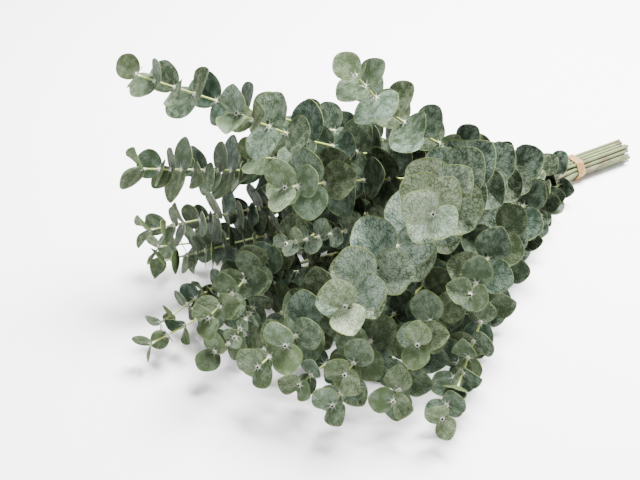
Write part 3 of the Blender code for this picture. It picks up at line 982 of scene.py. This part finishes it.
def addLeaf(bm, blade, leaf, age, draw):
    firstVert, firstFace = len(bm.verts), len(bm.faces)
    bm.from_mesh(blade)
    bm.verts.ensure_lookup_table()
    bm.faces.ensure_lookup_table()
    facts = bm.verts.layers.float_color["leafFacts"]
    plane = bm.loops.layers.uv["leafPlane"]
    bend = {
        "fold": leafForm["fold"] * draw.random() ** 2,
        "curl": draw.uniform(*leafForm["curl"]),
        "wave": eitherWay(draw, leafForm["wave"]),
        "phase": draw.uniform(0, 2 * math.pi),
    }
    wax = leafWax(leaf["shoot"], age, draw)
    seed = draw.random()
    baseX, baseY = leafMap["base"]
    mapLength = leaf["length"] * 1000 / leafMap["width"]
    for face in bm.faces[firstFace:]:
        for loop in face.loops:
            x, y = loop.vert.co.x, loop.vert.co.y
            loop[plane].uv = (baseX + x * mapLength, baseY + y * mapLength)
    verts = bm.verts[firstVert:]
    for vert in verts:
        edge = vert[facts][3]
        vert[facts] = (age, wax, seed, edge)
        vert.co.z += leafRise(leaf["cup"], bend, vert.co.x, vert.co.y, edge)
    turn = Matrix((leaf["side"], leaf["midrib"], leaf["face"])).transposed().to_4x4()
    place = Matrix.Translation(leaf["root"]) @ turn @ Matrix.Scale(leaf["length"], 4)
    bmesh.ops.transform(bm, matrix=place, verts=verts)
    rest = leafForm["resting"]
    for vert in verts:
        if vert.co.z < rest:
            vert.co.z = rest * math.exp(vert.co.z / rest - 1)


# Draws a ring of vertices from place to place and leaves a skin of faces behind it
def sweep(bm, ring, edges, places, slot):
    rings = []
    lastPlace = Matrix.Identity(4)
    for index, place in enumerate(places):
        if index:
            made = bmesh.ops.extrude_edge_only(bm, edges=edges)["geom"]
            ring = [item for item in made if isinstance(item, bmesh.types.BMVert)]
            newEdges = [item for item in made if isinstance(item, bmesh.types.BMEdge)]
            edges = [edge for edge in newEdges if all(vert in ring for vert in edge.verts)]
            for face in [item for item in made if isinstance(item, bmesh.types.BMFace)]:
                face.material_index = slot
                face.smooth = True
        bmesh.ops.transform(bm, matrix=place @ lastPlace.inverted(), verts=ring)
        lastPlace = place
        rings.append(ring)
    return rings, edges


# The twig: one ring, drawn along the route from its tip to its cut end

twigForm = {
    "sides": 8,
    "spacing": 0.006,
    "corner": 0.012,  # metres over which the route's corners are rounded
    "thickening": 1.15,  # how soon the twig is full, from the tip on
    "joint": 0.28,  # how much thicker the twig is where a pair stands
    "jointLength": 0.0022,
    "jointClear": 1.5,  # joint lengths beside a joint without another ring
    "jointFade": 1.6,  # how soon the joints lose their pale wax, from the tip on
    "slim": 0.88,  # of the solid's own radius
    "nippedTip": 1.45,  # the tip's own radius, as a share of the twig's
    "sharpAngle": 50,  # degrees
}


def roundedPoint(route, distance):
    before = pointFromTip(route, max(0.0, distance - twigForm["corner"]))[0]
    after = pointFromTip(route, distance + twigForm["corner"])[0]
    return (before + after) / 4 + pointFromTip(route, distance)[0] / 2


# Where along the twig a ring stands, by distance from the tip
def twigStations(whole, joints):
    steps = int(whole / twigForm["spacing"])
    clear = twigForm["jointLength"] * twigForm["jointClear"]
    stations = [whole * step / steps for step in range(steps + 1)]
    stations = [place for place in stations if all(abs(place - joint) > clear for joint in joints)]
    for joint in joints:
        stations += [joint + side * twigForm["jointLength"] for side in (-1, 0, 1)]
    return sorted({0.0, whole, *(place for place in stations if 0 <= place < whole)})


# How near a station is to a joint, from 0 to 1
def nearJoint(station, joints):
    shares = [math.exp(-(((station - joint) / twigForm["jointLength"]) ** 2)) for joint in joints]
    return max(shares, default=0)


def addTwig(bm, route, leaves):
    whole = sum((b[0] - a[0]).length for a, b in zip(route, route[1:]))
    joints = sorted({leaf["distance"] for leaf in leaves})
    startRadius, tipRadius = route[0][1], growth["tipRadius"]
    along = pointFromTip(route, 0)[1]
    turn = along.to_track_quat("Z", "Y")
    places, looks = [], []
    for station in twigStations(whole, joints):
        share = station / whole
        swell = nearJoint(station, joints)
        radius = tipRadius + (startRadius - tipRadius) * min(1.0, share * twigForm["thickening"])
        radius *= twigForm["slim"]
        radius *= 1 + twigForm["joint"] * swell if station else twigForm["nippedTip"]
        centre = roundedPoint(route, station) if station else route[-1][0]
        ahead = pointFromTip(route, station)[1]
        turn = along.rotation_difference(ahead) @ turn
        along = ahead
        places.append(Matrix.LocRotScale(centre, turn, Vector((radius, radius, radius))))
        looks.append((share, swell * max(0.0, 1 - twigForm["jointFade"] * share), 0, 0))
    ring = bmesh.ops.create_circle(bm, cap_ends=True, segments=twigForm["sides"], radius=1)["verts"]
    cap = ring[0].link_faces[0]
    cap.material_index = tipSlot
    rings, lastEdges = sweep(bm, ring, list(cap.edges), places, twigSlot)
    facts = bm.verts.layers.float_color["leafFacts"]
    for verts, look in zip(rings, looks):
        for vert in verts:
            vert[facts] = look
    for face in bmesh.ops.contextual_create(bm, geom=lastEdges)["faces"]:
        face.material_index = cutSlot


def leafyStem(number, shoots, blade, materials, draw):
    name = f"leafyStem_{number:02d}"
    bm = bmesh.new()
    bm.verts.layers.float_color.new("leafFacts")
    bm.loops.layers.uv.new("leafPlane")
    for shoot in shoots:
        addTwig(bm, shoot["route"], shoot["leaves"])
        whole = grownLength(shoot["route"])
        for leaf in shoot["leaves"]:
            addLeaf(bm, blade, leaf, leafAge(leaf["distance"], whole, draw), draw)
    piece = addObject(name, meshFrom(bm, name))
    for material in materials:
        piece.data.materials.append(material)
    piece.data.set_sharp_from_angle(angle=math.radians(twigForm["sharpAngle"]))
    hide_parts(f"leafy_stem_{number:02d}")
    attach(piece, "root")


# The tie: turns of rubber band side by side round the bundle

tieForm = {
    "turns": 4,
    "sides": 10,
    "points": 48,
    "turnWidth": 0.98,  # as a share of the room that a turn has
}


def tieOutline():
    places = []
    for row, count in enumerate(bundle["rows"]):
        places += [Vector(bundlePlace(row, place)) for place in range(count)]
    wall = bundle["stemRadius"] + bundle["gap"] + bundle["tieWall"] / 2
    outline = []
    for point in range(tieForm["points"]):
        angle = 2 * math.pi * point / tieForm["points"]
        outward = Vector((math.cos(angle), math.sin(angle)))
        outline.append(max(places, key=lambda place: place.dot(outward)) + outward * wall)
    return outline


def rubberTie(material):
    bm = bmesh.new()
    outline = tieOutline()
    room = bundle["tieWidth"] / tieForm["turns"]
    size = Vector((room * tieForm["turnWidth"] / 2, bundle["tieWall"] / 2, 1))
    for turn in range(tieForm["turns"]):
        middle = Vector((0, 0, tieHeight)) + bundleAxis * ((turn - (tieForm["turns"] - 1) / 2) * room)
        places = []
        for index, point in enumerate(outline):
            ahead = outline[(index + 1) % len(outline)] - outline[index - 1]
            forward = (bundleAcross * ahead.x + Vector((0, 0, ahead.y))).normalized()
            turned = Matrix((bundleAxis, forward.cross(bundleAxis), forward)).transposed()
            centre = middle + bundleAcross * point.x + Vector((0, 0, point.y))
            places.append(Matrix.LocRotScale(centre, turned, size))
        ring = bmesh.ops.create_circle(bm, segments=tieForm["sides"], radius=1)["verts"]
        first = list(dict.fromkeys(edge for vert in ring for edge in vert.link_edges))
        last = sweep(bm, ring, first, places, 0)[1]
        bmesh.ops.bridge_loops(bm, edges=last + first)
    bmesh.ops.recalc_face_normals(bm, faces=bm.faces)
    for face in bm.faces:
        face.smooth = True
    piece = addObject("rubberTie", meshFrom(bm, "rubberTie"))
    piece.data.materials.append(material)
    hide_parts("tie")
    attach(piece, "root")


addCamera()
addSoftboxes()
addStage()
print("camera, light and floor are set")

materials = [waxyLeafUpper(), smoothLeafUnder(), paleLeafMargin(), greenTwigBark()]
materials += [grained("freshCutWood"), grained("driedNippedTip")]
print("materials are made")

blade = leafBlade()
leafDraw = random.Random(leafForm["seed"])
for number, shoots in enumerate(layOut(), 1):
    leafyStem(number, shoots, blade, materials, leafDraw)
bpy.data.meshes.remove(blade)
print("leafy stems are made")

rubberTie(grained("naturalRubberBand"))
print("tie is made")
